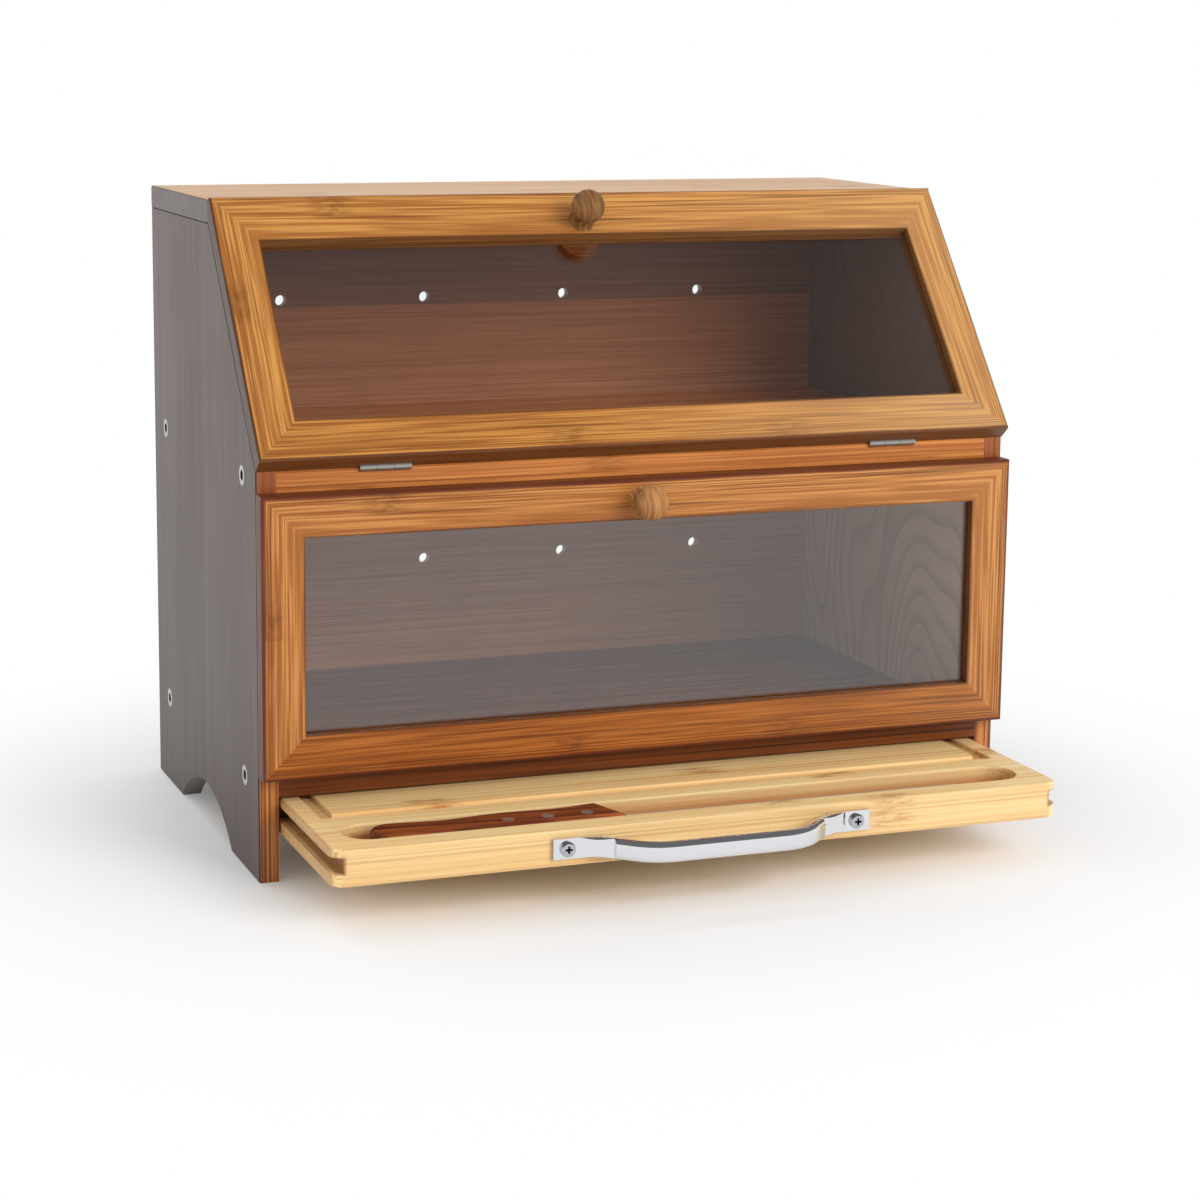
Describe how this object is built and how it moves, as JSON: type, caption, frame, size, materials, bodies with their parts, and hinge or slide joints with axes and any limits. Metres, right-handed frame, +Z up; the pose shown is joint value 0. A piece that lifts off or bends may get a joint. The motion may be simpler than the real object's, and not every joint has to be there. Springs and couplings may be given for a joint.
{
  "type": "bread box with cutting board drawer",
  "caption": "Two-tier bamboo bread box with glazed flap doors, a cutting board that slides out below, and a bread knife in its slot.",
  "frame": {"origin": "middle of the footprint on the surface it stands on, with the board drawn out as in the picture", "axes": "+X to the right of someone facing the doors, +Y from the doors to the back, +Z up"},
  "size_m": [0.4, 0.3404, 0.3301],
  "materials": {
    "bamboo_side": "oiled bamboo, grey-brown, fine upright grain",
    "bamboo_top": "oiled bamboo, pinkish beige",
    "bamboo_shelf": "oiled bamboo, reddish brown",
    "bamboo_back": "oiled bamboo, dark brown",
    "upper_door_bamboo": "golden amber bamboo with fine parallel lines",
    "lower_door_bamboo": "orange-brown bamboo with fine parallel lines",
    "board_bamboo": "light yellow bamboo, oiled",
    "knob_walnut": "dark turned wood, satin",
    "knife_wood": "reddish-brown hardwood, satin",
    "clear_glass": "clear glass",
    "polished_chrome": "polished chrome",
    "nickel_fittings": "nickel-plated steel",
    "blade_steel": "ground stainless steel",
    "rivet_steel": "dull grey steel",
    "magnet_metal": "plated magnet",
    "hinge_brass": "dull brass"
  },
  "bodies": {
    "box": {"left_side_panel": "bamboo_side", "right_side_panel": "bamboo_side", "top_panel": "bamboo_top", "middle_shelf": "bamboo_shelf", "bottom_panel": "bamboo_shelf", "left_runner": "bamboo_shelf", "right_runner": "bamboo_shelf", "upper_catch_block": "bamboo_shelf", "lower_catch_block": "bamboo_shelf", "back_panel": "bamboo_back", "top_dowels": "bamboo_shelf", "panel_bolts": "nickel_fittings", "panel_inserts": "nickel_fittings", "runner_screws": "nickel_fittings", "upper_door_hinge_left_fixed_leaf": "hinge_brass", "upper_door_hinge_right_fixed_leaf": "hinge_brass", "upper_door_hinge_fixed_screws": "hinge_brass", "upper_door_hinge_pins": "hinge_brass", "lower_door_hinge_left_fixed_leaf": "hinge_brass", "lower_door_hinge_right_fixed_leaf": "hinge_brass", "lower_door_hinge_fixed_screws": "hinge_brass", "lower_door_hinge_pins": "hinge_brass", "upper_catch_magnet": "magnet_metal", "lower_catch_magnet": "magnet_metal"},
    "upper_door": {"upper_door_bottom_rail": "upper_door_bamboo", "upper_door_top_rail": "upper_door_bamboo", "upper_door_left_stile": "upper_door_bamboo", "upper_door_right_stile": "upper_door_bamboo", "upper_door_glass": "clear_glass", "upper_door_knob": "knob_walnut", "upper_door_knob_screw": "nickel_fittings", "upper_door_hinge_left_door_leaf": "hinge_brass", "upper_door_hinge_right_door_leaf": "hinge_brass", "upper_door_hinge_door_screws": "hinge_brass"},
    "lower_door": {"lower_door_bottom_rail": "lower_door_bamboo", "lower_door_top_rail": "lower_door_bamboo", "lower_door_left_stile": "lower_door_bamboo", "lower_door_right_stile": "lower_door_bamboo", "lower_door_glass": "clear_glass", "lower_door_knob": "knob_walnut", "lower_door_knob_screw": "nickel_fittings", "lower_door_hinge_left_door_leaf": "hinge_brass", "lower_door_hinge_right_door_leaf": "hinge_brass", "lower_door_hinge_door_screws": "hinge_brass"},
    "drawer": {"cutting_board": "board_bamboo", "board_handle": "polished_chrome", "handle_screws": "nickel_fittings", "knife_grip": "knife_wood", "knife_blade": "blade_steel", "knife_rivets": "rivet_steel"}
  },
  "joints": [
    {"name": "upper_door_hinge", "type": "hinge", "parent": "box", "child": "upper_door", "pos_m": [0, -0.05498, 0.20269], "axis": [1, 0, 0], "range_deg": [0, 128]},
    {"name": "lower_door_hinge", "type": "hinge", "parent": "box", "child": "lower_door", "pos_m": [0, -0.05505, 0.053], "axis": [1, 0, 0], "range_deg": [0, 78]},
    {"name": "drawer_slide", "type": "slide", "parent": "box", "child": "drawer", "axis": [0, -1, 0], "range_m": [-0.091, 0.085]}
  ]
}
